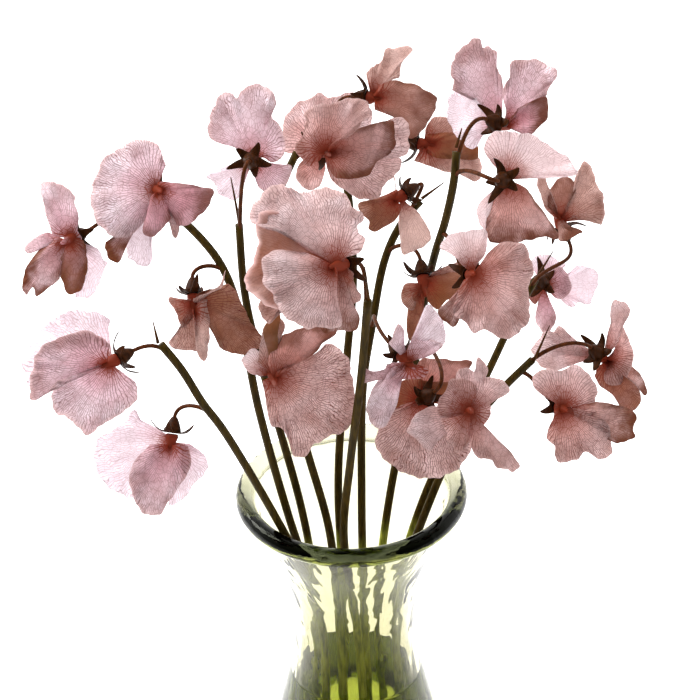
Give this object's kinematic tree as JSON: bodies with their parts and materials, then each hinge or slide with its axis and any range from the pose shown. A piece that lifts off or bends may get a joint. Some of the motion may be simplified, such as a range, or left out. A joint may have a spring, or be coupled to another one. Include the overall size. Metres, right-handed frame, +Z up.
{
  "type": "sweet pea flower stems in a glass vase",
  "caption": "Cut sweet pea stems with ruffled, veined rose-pink blooms, standing in water in a waisted green glass vase with a rolled rim.",
  "frame": {"origin": "middle of the vase's flat foot, on the surface it stands on", "axes": "+Z up along the vase's axis, -Y towards the front, +X to the right seen from the front"},
  "size_m": [0.2414, 0.135, 0.3759],
  "materials": {
    "glass": "clear green glass",
    "water": "clear water",
    "stem": "satin, fresh",
    "petal_rose": "thin, veined",
    "petal_pale": "thin, veined",
    "petal_russet": "thin, veined"
  },
  "bodies": {
    "root": {"vase": "glass", "water": "water", "stem_low_left": "stem", "stem_far_left": "stem", "stem_upright_left": "stem", "stem_back_left": "stem", "stem_back_middle": "stem", "stem_front_middle": "stem", "stem_bending": "stem", "stem_tall_right": "stem", "stem_low_right": "stem", "stem_back_right": "stem", "bloom_left_upper": "petal_pale", "bloom_left_lower": "petal_pale", "bloom_far_left": "petal_pale", "bloom_left_disc": "petal_pale", "bloom_left_hanging": "petal_russet", "bloom_upright_left": "petal_pale", "bloom_back_left": "petal_rose", "bloom_low_middle": "petal_rose", "bloom_hooded": "petal_rose", "bloom_top_middle": "petal_russet", "bloom_back_middle": "petal_russet", "bloom_centre": "petal_rose", "bloom_inner_top": "petal_russet", "bloom_inner_middle": "petal_russet", "bloom_inner_low": "petal_pale", "bloom_top_right": "petal_pale", "bloom_right_upper": "petal_rose", "bloom_right_disc": "petal_rose", "bloom_low_fan": "petal_rose", "bloom_low_ruffle": "petal_rose", "bloom_right_side": "petal_russet", "bloom_back_right": "petal_pale", "bloom_right_middle": "petal_rose", "bloom_right_low": "petal_rose"}
  },
  "joints": []
}
